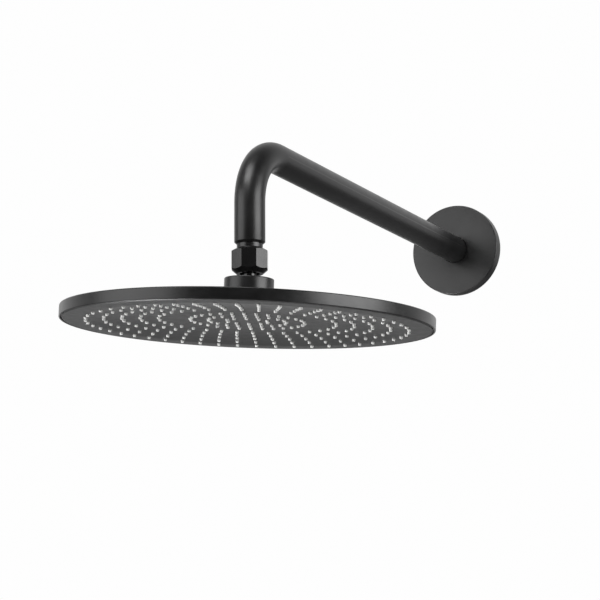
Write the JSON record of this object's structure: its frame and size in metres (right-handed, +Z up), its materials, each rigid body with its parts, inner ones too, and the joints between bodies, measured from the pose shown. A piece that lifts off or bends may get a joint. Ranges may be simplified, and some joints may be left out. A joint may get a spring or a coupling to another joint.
{
  "type": "wall-mounted rain shower head with arm",
  "caption": "Large round rain shower head hanging from a bent wall arm by a lockable ball joint, with a sliding round wall flange.",
  "frame": {"origin": "centre of the wall flange's back face, on the arm's axis, in the plane of the wall", "axes": "+Z up, the arm runs out from the wall along -Y, the wall is at +Y and the inlet thread points into it along +Y"},
  "size_m": [0.2999, 0.6146, 0.2024],
  "materials": {
    "matte_black_metal": "matte black powder coat",
    "gloss_black_metal": "glossy black plating",
    "brass": "machined",
    "steel": "plain stainless",
    "rubber": "matte",
    "silicone": "soft matte light grey",
    "white_plastic": "slippery white",
    "black_plastic": "matte black",
    "grey_plastic": "moulded dark grey",
    "face_plastic": "satin dark grey"
  },
  "bodies": {
    "arm": {"arm_tube": "matte_black_metal", "wall_nipple": "brass", "outlet_nipple": "gloss_black_metal", "swivel_nut": "gloss_black_metal", "inlet_washer": "rubber", "strainer": "steel"},
    "flange": {"wall_flange": "matte_black_metal", "flange_oring": "rubber"},
    "ball_cage": {"upper_ball_seat": "white_plastic", "lower_ball_seat": "white_plastic"},
    "stem": {"ball_stem": "gloss_black_metal", "flow_regulator": "white_plastic", "regulator_oring": "rubber"},
    "head": {"hub": "matte_black_metal", "stem_seal": "rubber", "hub_gasket": "rubber", "hub_locknut": "brass", "top_cover": "black_plastic", "rim_gasket": "rubber", "distributor_plate": "grey_plastic", "retaining_ring": "steel", "nozzle_mat": "silicone", "face_plate": "face_plastic", "face_screws": "steel"}
  },
  "joints": [
    {"name": "flange_slide", "type": "slide", "parent": "arm", "child": "flange", "axis": [0, -1, 0], "range_m": [0, 0.06]},
    {"name": "head_swivel", "type": "hinge", "parent": "arm", "child": "ball_cage", "pos_m": [0, -0.45, -0.0985], "axis": [0, 0, 1], "continuous": true},
    {"name": "head_tilt", "type": "hinge", "parent": "ball_cage", "child": "stem", "pos_m": [0, -0.45, -0.0985], "axis": [0.4695, 0.8829, 0], "range_deg": [-15, 7]},
    {"name": "head_spin", "type": "hinge", "parent": "stem", "child": "head", "pos_m": [0, -0.45, -0.0985], "axis": [0.0616, -0.0327, 0.9976], "continuous": true}
  ]
}
